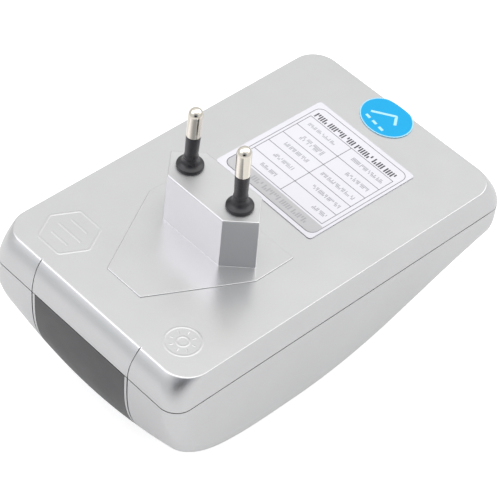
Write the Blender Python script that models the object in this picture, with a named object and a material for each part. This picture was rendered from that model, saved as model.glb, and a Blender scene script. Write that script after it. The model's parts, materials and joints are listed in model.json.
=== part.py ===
"""Plug-in mains power saver: a wedge-shaped two-shell case with a two-pin plug on its back.

The case lies on its rounded front with the plug pins pointing up.
Origin: centre of the plug's engagement face, midway between the pins.
+Z runs along the pins, +Y from the window end to the thin end, +X across the case.
Depths are measured down from the flat back face, which lies BOSS_HEIGHT below the origin.
"""
import math

import bmesh
import bpy
from mathutils import Matrix, Vector

MM = 0.001

# Case, seen from its back
BACK_HALF_WIDTH = 35.7 * MM
BACK_NEAR = -41.0 * MM
BACK_FAR = 74.0 * MM
NEAR_BULGE = 3.45 * MM
FAR_BULGE = 4.6 * MM
BACK_CORNER = 7.5 * MM
PARTING_CORNER = 5.5 * MM
BACK_FILLET = 1.2 * MM
SIDE_DRAFT = 0.083
PARTING_DEPTH = 9.3 * MM
WALL = 2.0 * MM
SEAM_GAP = 0.3 * MM
LIP_CLEARANCE = 0.3 * MM
LIP_WIDTH = 1.0 * MM
LIP_HEIGHT = 2.0 * MM

# Rounded front of the case
NOSE_CENTRE_Y = 2.0 * MM
NOSE_POWER = 3.8
BELLY_DEPTH = 45.0 * MM
TAIL_CURVE = 36.3 * MM
TAIL_SLOPE = 0.345
TAIL_FILLET = 8.0 * MM
CROWN_RADIUS = 120.0 * MM
NOSE_BOW_RADIUS = 600.0 * MM
FRONT_FILLET = 9.5 * MM
FILLET_RATE = (0.3, 0.7)
BLEND_DEPTH = 24.0 * MM

# Window and the grooves in line with its sides
GROOVE_X = 18.85 * MM
GROOVE_WIDTH = 0.5 * MM
GROOVE_DEPTH = 0.5 * MM
WINDOW_END_Y = -9.4 * MM
FRAME_WIDTH = 0.85 * MM
PANEL_GAP = 0.3 * MM
LENS_THICKNESS = 1.6 * MM

# Plug
BOSS_HEIGHT = 16.4 * MM
# Boss outline: half the length of its long sides, how far its tips reach, half its width
BOSS_BASE = (10.8 * MM, 17.5 * MM, 7.0 * MM)
BOSS_TOP = (10.55 * MM, 17.0 * MM, 6.95 * MM)
SEAT_RADIUS = 4.05 * MM
SEAT_DEPTH = 0.3 * MM
INSERT_NOSE = 6.5 * MM
INSERT_NEAR = -30.0 * MM
INSERT_SHOULDER_Y = -3.0 * MM
INSERT_HALF = 20.9 * MM
INSERT_FAR = 10.4 * MM
INSERT_PROUD = 0.25 * MM
INSERT_FLANGE = 1.6 * MM
FLANGE_BOTTOM = 4.0 * MM
PIN_SPACING = 19.0 * MM
PIN_LEAN = math.radians(1.48)
PIN_LENGTH = 20.4 * MM
PIN_RADIUS = 2.0 * MM
CORE_RADIUS = 1.3 * MM
SLEEVE_LENGTH = 11.3 * MM
BORE_RADIUS = 1.6 * MM

# Label and sticker
LABEL_SIZE = (37.6 * MM, 39.3 * MM)
LABEL_CENTRE = (0.4 * MM, 38.4 * MM)
LABEL_TURN = math.radians(-1.2)
LABEL_CORNER = 2.5 * MM
FOIL = 0.2 * MM
STICKER_HALF = (8.5 * MM, 7.0 * MM)
STICKER_TURN = math.radians(-9.7)
STICKER_CENTRE = (-1.8 * MM, 68.5 * MM)
STICKER_LIFTS = (0.4 * MM, 0.2 * MM)
FOLD_RADIUS = 2.6 * MM
FOLD_START = -0.45 * MM

# Circuit board and what stands on it
BOARD_TOP = 22.0 * MM
BOARD_THICKNESS = 1.6 * MM
BOARD_HALF_WIDTH = 26.0 * MM
BOARD_NEAR = -36.0 * MM
BOARD_FAR = 12.0 * MM
BOARD_POSTS = ((-22.5, -30.0), (22.5, -30.0), (-22.5, 6.0), (22.5, 6.0))
LEAD_RADIUS = 0.4 * MM
HOLE_RADIUS = 0.75 * MM
CASE_SCREWS = ((-15.2, 40.0), (15.2, 40.0))
INSERT_SCREWS = ((-25.1, 4.0), (25.1, 4.0), (-17.4, -18.5), (17.4, -18.5))
CAPACITOR_SIZE = (22.0 * MM, 44.0 * MM, 18.0 * MM)
CAPACITOR_NEAR = 18.0 * MM
PAD_THICKNESS = 1.9 * MM
WIRE_RADIUS = 0.7 * MM

# Screws: head radius, head height, shank radius, shank length
CASE_SCREW = (2.6 * MM, 1.6 * MM, 1.2 * MM, 10.0 * MM)
INSERT_SCREW = (3.4 * MM, 1.6 * MM, 1.0 * MM, 2.2 * MM)
BOARD_SCREW = (2.4 * MM, 1.6 * MM, 1.1 * MM, 6.5 * MM)

# Posts inside the case: outer radius and pilot hole radius
CASE_POST = (3.0 * MM, 1.5 * MM)
BOARD_POST = (2.5 * MM, 1.3 * MM)
INSERT_POST = (2.0 * MM, 1.3 * MM)
SCREW_POCKET = (3.8 * MM, 1.7 * MM)
SCREW_SEAT = 2.6 * MM
POST_ROOT = 1.5 * MM

ROUND_STEPS = 20
SMALL_STEPS = 12
NOSE_STEPS = 12
TAIL_STEPS = 9
END_STEPS = 4
CROSS_STEPS = 5
GAP = 0.3 * MM
FAR_OUT = 60.0 * MM

PALETTE = {
    "silver_plastic": ((0.62, 0.62, 0.63), 0.38, 0.35),
    "smoked_plastic": ((0.05, 0.05, 0.052), 0.3, 0.0),
    "nickel": ((0.78, 0.74, 0.66), 0.18, 1.0),
    "black_plastic": ((0.012, 0.012, 0.013), 0.4, 0.0),
    "white_foil": ((0.86, 0.85, 0.92), 0.45, 0.0),
    "blue_foil": ((0.02, 0.42, 0.86), 0.4, 0.0),
    "steel": ((0.6, 0.6, 0.6), 0.35, 1.0),
    "board": ((0.55, 0.42, 0.2), 0.6, 0.0),
    "yellow_case": ((0.75, 0.6, 0.12), 0.45, 0.0),
    "grey_case": ((0.35, 0.36, 0.38), 0.5, 0.0),
    "foam": ((0.8, 0.8, 0.78), 0.9, 0.0),
    "ceramic_blue": ((0.08, 0.2, 0.5), 0.5, 0.0),
    "glass": ((0.75, 0.8, 0.8), 0.1, 0.0),
    "green_led": ((0.15, 0.7, 0.2), 0.2, 0.0),
    "red_wire": ((0.6, 0.03, 0.02), 0.45, 0.0),
    "black_wire": ((0.02, 0.02, 0.02), 0.45, 0.0),
    "resistor": ((0.55, 0.65, 0.6), 0.5, 0.0),
}


# --- scene helpers ------------------------------------------------------------------------

def clear_scene():
    for obj in list(bpy.data.objects):
        bpy.data.objects.remove(obj)


def material(slot):
    found = bpy.data.materials.get(slot)
    if found:
        return found
    colour, roughness, metallic = PALETTE[slot]
    made = bpy.data.materials.new(slot)
    made.use_nodes = True
    shader = made.node_tree.nodes["Principled BSDF"]
    shader.inputs["Base Color"].default_value = (*colour, 1.0)
    shader.inputs["Roughness"].default_value = roughness
    shader.inputs["Metallic"].default_value = metallic
    return made


def new_object(name, bm, slot=None):
    bmesh.ops.remove_doubles(bm, verts=bm.verts, dist=1e-6)
    bmesh.ops.recalc_face_normals(bm, faces=bm.faces)
    mesh = bpy.data.meshes.new(name)
    bm.to_mesh(mesh)
    bm.free()
    obj = bpy.data.objects.new(name, mesh)
    bpy.context.collection.objects.link(obj)
    if slot:
        mesh.materials.append(material(slot))
        mesh.shade_smooth()
        mesh.set_sharp_from_angle(angle=math.radians(35))
    return obj


def combine(target, tool, operation):
    """Cut, join or intersect target with tool, then drop the tool."""
    step = target.modifiers.new(operation, "BOOLEAN")
    step.operation = operation
    step.object = tool
    step.solver = "EXACT"
    bpy.context.view_layer.update()
    graph = bpy.context.evaluated_depsgraph_get()
    result = bpy.data.meshes.new_from_object(target.evaluated_get(graph))
    target.modifiers.clear()
    target.data = result
    bpy.data.objects.remove(tool)


def place(obj, datum, location=(0, 0, 0), rotation=(0, 0, 0)):
    obj.parent = datum
    obj.location = location
    obj.rotation_euler = rotation


# --- basic solids (local coordinates, z up) -----------------------------------------------

def ring_stack(rings):
    """Closed solid through a list of point rings of equal length."""
    bm = bmesh.new()
    rows = [[bm.verts.new(point) for point in ring] for ring in rings]
    count = len(rows[0])
    for upper, lower in zip(rows, rows[1:]):
        for i in range(count):
            j = (i + 1) % count
            bm.faces.new((upper[i], lower[i], lower[j], upper[j]))
    bm.faces.new(rows[0])
    bm.faces.new(list(reversed(rows[-1])))
    return bm


def turned(profile, steps=ROUND_STEPS):
    """Solid of revolution about Z from (radius, height) pairs, top to bottom."""
    rings = []
    for radius, height in profile:
        angles = [math.tau * i / steps for i in range(steps)]
        rings.append([(radius * math.cos(a), radius * math.sin(a), height) for a in angles])
    return ring_stack(rings)


def prism(outline, top, bottom, top_outline=None):
    upper = [(x, y, top) for x, y in (top_outline or outline)]
    lower = [(x, y, bottom) for x, y in outline]
    return ring_stack([upper, lower])


def box(low, high):
    outline = [(low[0], low[1]), (high[0], low[1]), (high[0], high[1]), (low[0], high[1])]
    return prism(outline, high[2], low[2])


def rounded_rectangle(left, right, near, far, radius, steps=6):
    centres = ((right - radius, far - radius), (left + radius, far - radius),
               (left + radius, near + radius), (right - radius, near + radius))
    points = []
    for quarter, (cx, cy) in enumerate(centres):
        for i in range(steps + 1):
            angle = math.pi / 2 * (quarter + i / steps)
            points.append((cx + radius * math.cos(angle), cy + radius * math.sin(angle)))
    return points


def dome(radius, height, steps=5):
    """Turned profile of a hemisphere whose pole is at the given height."""
    angles = [math.pi / 2 * (1 - i / steps) for i in range(steps + 1)]
    floor = 0.02 * radius
    return [(max(radius * math.cos(a), floor), height - radius + radius * math.sin(a))
            for a in angles]


def tube(path, radius, steps=8):
    """Round wire along a path of points."""
    rings = []
    for i, point in enumerate(path):
        before = path[max(i - 1, 0)]
        after = path[min(i + 1, len(path) - 1)]
        along = (after - before).normalized()
        across = along.cross(Vector((1, 0.3, 0))).normalized()
        other = along.cross(across)
        angles = [math.tau * k / steps for k in range(steps)]
        rings.append([point + radius * (math.cos(a) * across + math.sin(a) * other) for a in angles])
    return ring_stack(rings)


def bezier(p0, p1, p2, p3, steps=9):
    points = []
    for i in range(steps + 1):
        t = i / steps
        s = 1 - t
        points.append(s**3 * p0 + 3 * s * s * t * p1 + 3 * s * t * t * p2 + t**3 * p3)
    return points


# --- case surfaces ------------------------------------------------------------------------

def near_edge(depth):
    return BACK_NEAR - NEAR_BULGE * math.sin(math.pi / 2 * (depth / PARTING_DEPTH) ** 0.7)


def far_edge(depth):
    return BACK_FAR + FAR_BULGE * math.sin(math.pi / 2 * (depth / PARTING_DEPTH) ** 0.8)


def half_width(depth):
    rise = max(BACK_FILLET - depth, 0)
    fillet = BACK_FILLET - math.sqrt(BACK_FILLET**2 - rise**2)
    return BACK_HALF_WIDTH + SIDE_DRAFT * depth - fillet


def nose_curve(share):
    """The nose's superellipse: its reach along one half axis for a share of the other."""
    return (1 - share**NOSE_POWER) ** (1 / NOSE_POWER)


NEAR_END = BACK_NEAR - NEAR_BULGE
FAR_END = BACK_FAR + FAR_BULGE
HALF_WIDTH = half_width(PARTING_DEPTH)
NOSE_LENGTH = (NOSE_CENTRE_Y - NEAR_END) / nose_curve(PARTING_DEPTH / BELLY_DEPTH)


def back_ring(depth, inset, drop=None):
    """Plan outline of the back shell at a depth, drawn in by inset."""
    level = min(depth, PARTING_DEPTH)
    half = half_width(level) - inset
    radius = BACK_CORNER + (PARTING_CORNER - BACK_CORNER) * level / PARTING_DEPTH
    outline = rounded_rectangle(-half, half, near_edge(level) + inset, far_edge(level) - inset,
                                max(radius - inset, 1.5 * MM))
    height = -(depth if drop is None else drop)
    return [(x, y, height) for x, y in outline]


def back_shell():
    outer = [back_ring(depth * MM, 0) for depth in (0, 0.15, 0.5, 1.2, 2.4, 4.2, 6.5, 9.3)]
    lip_in = WALL + LIP_CLEARANCE
    lip_out = lip_in + LIP_WIDTH
    lip_end = PARTING_DEPTH + LIP_HEIGHT
    inner = [back_ring(PARTING_DEPTH, lip_in), back_ring(lip_end, lip_in),
             back_ring(lip_end, lip_out), back_ring(7.0 * MM, lip_out),
             back_ring(6.0 * MM, WALL), back_ring(2.0 * MM, WALL, WALL)]
    shell = new_object("back_shell", ring_stack(outer + inner), "silver_plastic")
    hole = insert_outline(PANEL_GAP)
    combine(shell, new_object("cut", prism(hole, 5 * MM, -5 * MM)), "DIFFERENCE")
    for side in (-1, 1):
        combine(shell, new_object("cut", groove_cutter(side, near_wall_loop())), "DIFFERENCE")
    for x, y in CASE_SCREWS:
        add_screw_pocket(shell, x * MM, y * MM)
    radius, pilot = INSERT_POST
    for x, y in INSERT_SCREWS:
        add_post(shell, x * MM, y * MM, WALL - 0.5 * MM, FLANGE_BOTTOM, radius)
        drill(shell, x * MM, y * MM, 1.0 * MM, FLANGE_BOTTOM + 1 * MM, pilot)
    return shell


def add_screw_pocket(shell, x, y):
    """Post on the inside with a counterbore for the screw head and a through hole."""
    radius, clearance = SCREW_POCKET
    add_post(shell, x, y, WALL - 0.5 * MM, 5.0 * MM, radius)
    drill(shell, x, y, -1.0 * MM, SCREW_SEAT, CASE_SCREW[0] + GAP)
    drill(shell, x, y, 2.0 * MM, 6.0 * MM, clearance)


def add_post(shell, x, y, top, bottom, radius):
    post = new_object("post", turned([(radius, -top), (radius, -bottom)], SMALL_STEPS))
    post.location = (x, y, 0)
    combine(shell, post, "UNION")


def drill(shell, x, y, top, bottom, radius):
    bit = new_object("drill", turned([(radius, -top), (radius, -bottom)], SMALL_STEPS))
    bit.location = (x, y, 0)
    combine(shell, bit, "DIFFERENCE")


def belly_depth(y):
    """Depth of the front's centre line, from the nose's centre to the thin end."""
    run = y - NOSE_CENTRE_Y
    if run < TAIL_CURVE:
        return BELLY_DEPTH - TAIL_SLOPE * run**2 / (2 * TAIL_CURVE)
    return BELLY_DEPTH - TAIL_SLOPE * (run - TAIL_CURVE / 2)


def centre_line(inset, top):
    """(y, depth) along the front's centre line, from the window end's parting edge to the thin end's."""
    length = NOSE_LENGTH - inset
    deep = BELLY_DEPTH - inset
    start = math.asin((top / deep) ** (NOSE_POWER / 2))
    points = []
    for i in range(NOSE_STEPS + 1):
        angle = start + (math.pi / 2 - start) * i / NOSE_STEPS
        reach = math.cos(angle) ** (2 / NOSE_POWER) if i < NOSE_STEPS else 0
        points.append((NOSE_CENTRE_Y - length * reach, deep * math.sin(angle) ** (2 / NOSE_POWER)))
    last = FAR_END - TAIL_FILLET
    for i in range(1, TAIL_STEPS + 1):
        y = NOSE_CENTRE_Y + (last - NOSE_CENTRE_Y) * i / TAIL_STEPS
        points.append((y, belly_depth(y) - inset))
    radius = TAIL_FILLET - inset
    turn = math.pi / 2 - math.atan(TAIL_SLOPE)
    base = belly_depth(last) - TAIL_FILLET
    for i in range(1, END_STEPS + 1):
        angle = math.atan(TAIL_SLOPE) + turn * i / END_STEPS
        points.append((last + radius * math.sin(angle), base + radius * math.cos(angle)))
    points.append((FAR_END - inset, top))
    return points


def plan_half_width(y, inset):
    """Half width of the parting outline at y, round corners included."""
    radius = PARTING_CORNER - inset
    gap = min(y - (NEAR_END + inset), (FAR_END - inset) - y)
    shy = min(max(radius - gap, 0), radius)
    return HALF_WIDTH - inset - radius + math.sqrt(radius**2 - shy**2)


def smooth(value):
    value = min(max(value, 0), 1)
    return value * value * (3 - 2 * value)


def section(y, depth, inset, top):
    """Points across the front shell's skin at one place on the centre line.

    The edge fillet grows with depth, slowly at the window end and faster towards the thin end.
    """
    half = plan_half_width(y, inset)
    share = smooth((depth - top) / BLEND_DEPTH)
    past_nose = smooth((y - NEAR_END) / (NOSE_CENTRE_Y - NEAR_END))
    rate = FILLET_RATE[0] + (FILLET_RATE[1] - FILLET_RATE[0]) * past_nose
    radius = min(FRONT_FILLET - inset, rate * (depth - top))
    lean = math.atan((half - radius) / CROWN_RADIUS) * share
    join = half - radius + radius * math.sin(lean)

    def drop(x):
        return share * x * x / (2 * CROWN_RADIUS)

    centre = depth - drop(join) - radius * math.cos(lean)
    right = [(half, top)]
    for i in range(CROSS_STEPS + 1):
        angle = (math.pi / 2 - lean) * i / CROSS_STEPS
        right.append((half - radius + radius * math.cos(angle), centre + radius * math.sin(angle)))
    flat = [(join * i / 4, depth - drop(join * i / 4)) for i in range(3, 0, -1)]
    right += flat
    across = [(-x, d) for x, d in right] + [(0, depth)] + list(reversed(right))
    fade = share * smooth((NOSE_CENTRE_Y - y) / (NOSE_CENTRE_Y - NEAR_END))
    points = []
    for x, d in across:
        bow = fade * smooth((d - top) / BLEND_DEPTH) * x * x / (2 * NOSE_BOW_RADIUS)
        points.append(Vector((x, y + bow, -d)))
    return points


def front_skin(thickness, top):
    """Closed skin of the front shell: outer and inner surface joined along the parting edge."""
    outer = [section(y, d, 0, top) for y, d in centre_line(0, top)]
    inner = [section(y, d, thickness, top) for y, d in centre_line(thickness, top)]
    bm = bmesh.new()
    out = [[bm.verts.new(p) for p in row] for row in outer]
    inn = [[bm.verts.new(p) for p in row] for row in inner]
    rows = len(out)
    columns = len(out[0])
    for j in range(rows - 1):
        for k in range(columns - 1):
            bm.faces.new((out[j][k], out[j + 1][k], out[j + 1][k + 1], out[j][k + 1]))
            bm.faces.new((inn[j][k], inn[j][k + 1], inn[j + 1][k + 1], inn[j + 1][k]))
        bm.faces.new((out[j][0], inn[j][0], inn[j + 1][0], out[j + 1][0]))
        bm.faces.new((out[j][-1], out[j + 1][-1], inn[j + 1][-1], inn[j][-1]))
    for k in range(columns - 1):
        bm.faces.new((out[0][k], out[0][k + 1], inn[0][k + 1], inn[0][k]))
        bm.faces.new((out[-1][k], inn[-1][k], inn[-1][k + 1], out[-1][k + 1]))
    bmesh.ops.remove_doubles(bm, verts=bm.verts, dist=2e-6)
    bmesh.ops.dissolve_degenerate(bm, edges=bm.edges, dist=2e-6)
    bmesh.ops.triangulate(bm, faces=bm.faces)
    return bm


def skin_depth(x, y):
    """Depth of the front's outer surface at a place away from its edges."""
    if y < NOSE_CENTRE_Y:
        reach = (NOSE_CENTRE_Y - y) / NOSE_LENGTH
        deep = BELLY_DEPTH * nose_curve(reach)
    else:
        deep = belly_depth(y)
    return deep - x * x / (2 * CROWN_RADIUS)


def near_wall_loop():
    """(y, depth) loop outside the window end's wall, its inner edge GROOVE_DEPTH inside the wall."""
    depths = [PARTING_DEPTH * i / 8 for i in range(9)]
    wall = [(near_edge(depth) + GROOVE_DEPTH, depth) for depth in depths]
    high, low = -1 * MM, PARTING_DEPTH + 1 * MM
    outside = NEAR_END - 9 * MM
    return [(wall[0][0], high)] + wall + [(wall[-1][0], low), (outside, low), (outside, high)]


def front_loop():
    """(y, depth) loop below the front, from the window to the thin end, GROOVE_DEPTH into its surface."""
    flat_end = FAR_END - TAIL_FILLET
    surface = []
    for i in range(13):
        y = WINDOW_END_Y + (flat_end - WINDOW_END_Y) * i / 12
        surface.append((y, skin_depth(GROOVE_X, y) - GROOVE_DEPTH))
    beyond = FAR_END + 5 * MM
    surface.append((beyond, surface[-1][1] - TAIL_SLOPE * (beyond - flat_end)))
    below = BELLY_DEPTH + 9 * MM
    return surface + [(beyond, below), (WINDOW_END_Y, below)]


def groove_cutter(side, loop):
    """Thin prism in line with the window's side; loop is its outline seen along X."""
    low = side * GROOVE_X - GROOVE_WIDTH / 2
    high = low + GROOVE_WIDTH
    return ring_stack([[(low, y, -d) for y, d in loop], [(high, y, -d) for y, d in loop]])


def front_shell():
    top = PARTING_DEPTH + SEAM_GAP
    shell = new_object("front_shell", front_skin(WALL, top), "silver_plastic")
    edge = GROOVE_X + PANEL_GAP / 2
    opening = box((-edge, -FAR_OUT, -FAR_OUT), (edge, WINDOW_END_Y, 0))
    combine(shell, new_object("cut", opening), "DIFFERENCE")
    for side in (-1, 1):
        combine(shell, new_object("cut", groove_cutter(side, front_loop())), "DIFFERENCE")
    board_under = BOARD_TOP + BOARD_THICKNESS + GAP
    for x, y in BOARD_POSTS:
        add_front_post(shell, x * MM, y * MM, board_under, 7.0 * MM, BOARD_POST)
    for x, y in CASE_SCREWS:
        add_front_post(shell, x * MM, y * MM, 5.3 * MM, 11.7 * MM, CASE_POST)
    return shell


def add_front_post(shell, x, y, top, hole_depth, radii):
    """Post standing on the front's inner surface, with a pilot hole for its screw."""
    radius, pilot = radii
    add_post(shell, x, y, top, skin_depth(x, y) - POST_ROOT, radius)
    drill(shell, x, y, top - 1 * MM, top + hole_depth, pilot)


def window_box(margin):
    edge = GROOVE_X - PANEL_GAP / 2 - margin
    top = PARTING_DEPTH + SEAM_GAP
    return box((-edge, -FAR_OUT, -FAR_OUT), (edge, WINDOW_END_Y - PANEL_GAP - margin, -top))


def window_frame():
    skin = front_skin(LENS_THICKNESS, PARTING_DEPTH + SEAM_GAP)
    frame = new_object("window_frame", skin, "silver_plastic")
    combine(frame, new_object("keep", window_box(0)), "INTERSECT")
    inside = window_box(FRAME_WIDTH)
    bmesh.ops.translate(inside, verts=inside.verts, vec=(0, 0, SEAM_GAP + 5 * MM))
    combine(frame, new_object("cut", inside), "DIFFERENCE")
    return frame


def window_lens():
    skin = front_skin(LENS_THICKNESS, PARTING_DEPTH + SEAM_GAP)
    lens = new_object("window_lens", skin, "smoked_plastic")
    combine(lens, new_object("keep", window_box(FRAME_WIDTH + 0.2 * MM)), "INTERSECT")
    return lens


# --- plug ---------------------------------------------------------------------------------

def insert_outline(margin):
    """House-shaped outline of the plug insert, grown by margin."""
    run = INSERT_SHOULDER_Y - INSERT_NEAR
    rise = INSERT_HALF - INSERT_NOSE
    slant = math.hypot(run, rise)
    nose = INSERT_NOSE + margin * (slant - rise) / run
    shoulder = INSERT_SHOULDER_Y - margin * (slant - run) / rise
    half = INSERT_HALF + margin
    return [(nose, INSERT_NEAR - margin), (half, shoulder), (half, INSERT_FAR + margin),
            (-half, INSERT_FAR + margin), (-half, shoulder), (-nose, INSERT_NEAR - margin)]


def hexagon(flat, tip, half):
    return [(flat, -half), (tip, 0), (flat, half), (-flat, half), (-tip, 0), (-flat, -half)]


def plug_insert():
    """Plate with the boss on it, a shallow round seat for each sleeve and a bore for each pin."""
    insert = new_object("plug_insert", prism(insert_outline(0), INSERT_PROUD, -3.0 * MM), "silver_plastic")
    flange = new_object("flange", prism(insert_outline(INSERT_FLANGE), -2.3 * MM, -FLANGE_BOTTOM))
    combine(insert, flange, "UNION")
    boss = prism(hexagon(*BOSS_BASE), BOSS_HEIGHT, -1 * MM, hexagon(*BOSS_TOP))
    combine(insert, new_object("boss", boss), "UNION")
    for side in (-1, 1):
        seat = new_object("seat", turned([(SEAT_RADIUS, 5 * MM), (SEAT_RADIUS, -SEAT_DEPTH)]))
        seat.location = (side * PIN_SPACING / 2, 0, BOSS_HEIGHT)
        combine(insert, seat, "DIFFERENCE")
        profile = [(BORE_RADIUS, 5 * MM), (BORE_RADIUS, -BOSS_HEIGHT - 9 * MM)]
        bore = new_object("bore", turned(profile, SMALL_STEPS))
        bore.location = (side * PIN_SPACING / 2, 0, BOSS_HEIGHT)
        bore.rotation_euler = (0, -side * PIN_LEAN, 0)
        combine(insert, bore, "DIFFERENCE")
    return insert


def pin(name):
    neck = SLEEVE_LENGTH
    tail = -(BOSS_HEIGHT + FLANGE_BOTTOM + 0.3 * MM)
    profile = dome(PIN_RADIUS, PIN_LENGTH)
    profile += [(PIN_RADIUS, neck), (CORE_RADIUS, neck), (CORE_RADIUS, tail), (2.5 * MM, tail),
                (2.5 * MM, tail - 1.5 * MM), (1.0 * MM, tail - 1.5 * MM), (1.0 * MM, tail - 4 * MM)]
    return new_object(name, turned(profile), "nickel")


def pin_sleeve(name):
    bore = CORE_RADIUS + 0.25 * MM
    top = SLEEVE_LENGTH - 0.1 * MM
    foot = 0.0
    outer = [(1.85 * MM, top), (1.95 * MM, top - 0.5 * MM), (1.75 * MM, 4.2 * MM), (1.95 * MM, 3.6 * MM),
             (1.95 * MM, 2.6 * MM), (2.4 * MM, 2.0 * MM), (3.55 * MM, 1.0 * MM), (3.75 * MM, 0.6 * MM),
             (3.75 * MM, foot)]
    bm = bmesh.new()
    loop = [(bore, top)] + outer + [(bore, foot)]
    rows = []
    for radius, height in loop:
        angles = [math.tau * i / ROUND_STEPS for i in range(ROUND_STEPS)]
        rows.append([bm.verts.new((radius * math.cos(a), radius * math.sin(a), height)) for a in angles])
    for upper, lower in zip(rows, rows[1:] + rows[:1]):
        for i in range(ROUND_STEPS):
            j = (i + 1) % ROUND_STEPS
            bm.faces.new((upper[i], lower[i], lower[j], upper[j]))
    return new_object(name, bm, "black_plastic")


# --- label and sticker --------------------------------------------------------------------

def rating_label():
    half_x = LABEL_SIZE[0] / 2
    half_y = LABEL_SIZE[1] / 2
    outline = rounded_rectangle(-half_x, half_x, -half_y, half_y, LABEL_CORNER)
    return new_object("rating_label", prism(outline, FOIL, 0), "white_foil")


def sticker_point(u, v, lift):
    """Point on the foil at (u, v) from its centre: flat on the back, bent down past the thin end's edge."""
    x = STICKER_CENTRE[0] + u * math.cos(STICKER_TURN) - v * math.sin(STICKER_TURN)
    y = STICKER_CENTRE[1] + u * math.sin(STICKER_TURN) + v * math.cos(STICKER_TURN)
    past = y - BACK_FAR - FOLD_START
    if past <= 0:
        return (x, y, lift)
    angle = past / FOLD_RADIUS
    radius = FOLD_RADIUS + lift
    return (x, BACK_FAR + FOLD_START + radius * math.sin(angle), radius * math.cos(angle) - FOLD_RADIUS)


def inspection_sticker():
    """Oval foil bent over the back face's far edge, in rings round its centre."""
    bm = bmesh.new()
    ring_count, steps = 10, 28
    layers = []
    for lift in STICKER_LIFTS:
        hub = bm.verts.new(sticker_point(0, 0, lift))
        rings = []
        for i in range(1, ring_count + 1):
            half_u, half_v = (half * i / ring_count for half in STICKER_HALF)
            angles = [math.tau * k / steps for k in range(steps)]
            points = [sticker_point(half_u * math.cos(a), half_v * math.sin(a), lift) for a in angles]
            rings.append([bm.verts.new(point) for point in points])
        layers.append((hub, rings))
    for hub, rings in layers:
        for k in range(steps):
            m = (k + 1) % steps
            bm.faces.new((hub, rings[0][k], rings[0][m]))
            for inner, outer in zip(rings, rings[1:]):
                bm.faces.new((inner[k], outer[k], outer[m], inner[m]))
    top, under = layers[0][1][-1], layers[1][1][-1]
    for k in range(steps):
        m = (k + 1) % steps
        bm.faces.new((top[k], top[m], under[m], under[k]))
    bmesh.ops.triangulate(bm, faces=bm.faces)
    return new_object("inspection_sticker", bm, "blue_foil")


# --- fasteners ----------------------------------------------------------------------------

def screw(name, head_radius, head_height, shank_radius, length):
    """Pan-head screw, head up, underside of the head at z = 0, with a cross recess."""
    profile = [(0.6 * head_radius, head_height), (head_radius, 0.5 * head_height), (head_radius, 0),
               (shank_radius, 0), (shank_radius, -length), (0.3 * shank_radius, -length - shank_radius)]
    body = new_object(name, turned(profile, SMALL_STEPS), "steel")
    arm = 0.45 * head_radius
    slot = 0.12 * head_radius
    for size in ((arm, slot), (slot, arm)):
        cut = box((-size[0], -size[1], 0.5 * head_height), (size[0], size[1], 2 * head_height))
        combine(body, new_object("cut", cut), "DIFFERENCE")
    return body


# --- circuit ------------------------------------------------------------------------------

def leads(target, places, top, bottom):
    for x, y in places:
        wire = new_object("lead", turned([(LEAD_RADIUS, top), (LEAD_RADIUS, bottom)], 8))
        wire.location = (x, y, 0)
        combine(target, wire, "UNION")


def upright_box_part(name, slot, size, spread):
    """Boxed part standing on two leads, underside at z = 0."""
    half = [value / 2 for value in size]
    outline = rounded_rectangle(-half[0], half[0], -half[1], half[1], 0.8 * MM, 2)
    part = new_object(name, prism(outline, size[2], 0), slot)
    leads(part, ((-spread, 0), (spread, 0)), 1 * MM, -3.5 * MM)
    return part


def disc_part(name, slot, radius, thickness, spread):
    """Disc-shaped part standing on edge on two leads."""
    half = thickness / 2
    profile = [(0.8 * radius, half), (radius, 0.5 * half), (radius, -0.5 * half), (0.8 * radius, -half)]
    bm = turned(profile, 16)
    bmesh.ops.rotate(bm, verts=bm.verts, matrix=Matrix.Rotation(math.pi / 2, 3, "X"))
    bmesh.ops.translate(bm, verts=bm.verts, vec=(0, 0, radius))
    part = new_object(name, bm, slot)
    leads(part, ((-spread, 0), (spread, 0)), 0.5 * radius, -3.5 * MM)
    return part


def axial_part(name, slot, radius, length, spread):
    """Round part lying along X with leads bent down through the board."""
    profile = [(0.7 * radius, length / 2), (radius, length / 2 - 0.4 * radius),
               (radius, -length / 2 + 0.4 * radius), (0.7 * radius, -length / 2)]
    bm = turned(profile, SMALL_STEPS)
    bmesh.ops.rotate(bm, verts=bm.verts, matrix=Matrix.Rotation(math.pi / 2, 3, "Y"))
    bmesh.ops.translate(bm, verts=bm.verts, vec=(0, 0, radius))
    part = new_object(name, bm, slot)
    reach = spread + LEAD_RADIUS
    bar = box((-reach, -LEAD_RADIUS, radius - LEAD_RADIUS), (reach, LEAD_RADIUS, radius + LEAD_RADIUS))
    combine(part, new_object("bar", bar), "UNION")
    leads(part, ((-spread, 0), (spread, 0)), radius, -3.5 * MM)
    return part


def can_part(name, slot, radius, height, spread):
    profile = [(0.8 * radius, height), (radius, height - 0.2 * radius), (radius, 0)]
    part = new_object(name, turned(profile), slot)
    leads(part, ((-spread, 0), (spread, 0)), 1 * MM, -3.5 * MM)
    return part


def led(name):
    """Round light-emitting diode, flange at z = 0, dome up."""
    profile = dome(2.5 * MM, 8.6 * MM, 4)
    profile += [(2.5 * MM, 1.0 * MM), (2.9 * MM, 1.0 * MM), (2.9 * MM, 0)]
    part = new_object(name, turned(profile, 16), "green_led")
    leads(part, ((-1.27 * MM, 0), (1.27 * MM, 0)), 1 * MM, -3.5 * MM)
    return part


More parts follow.
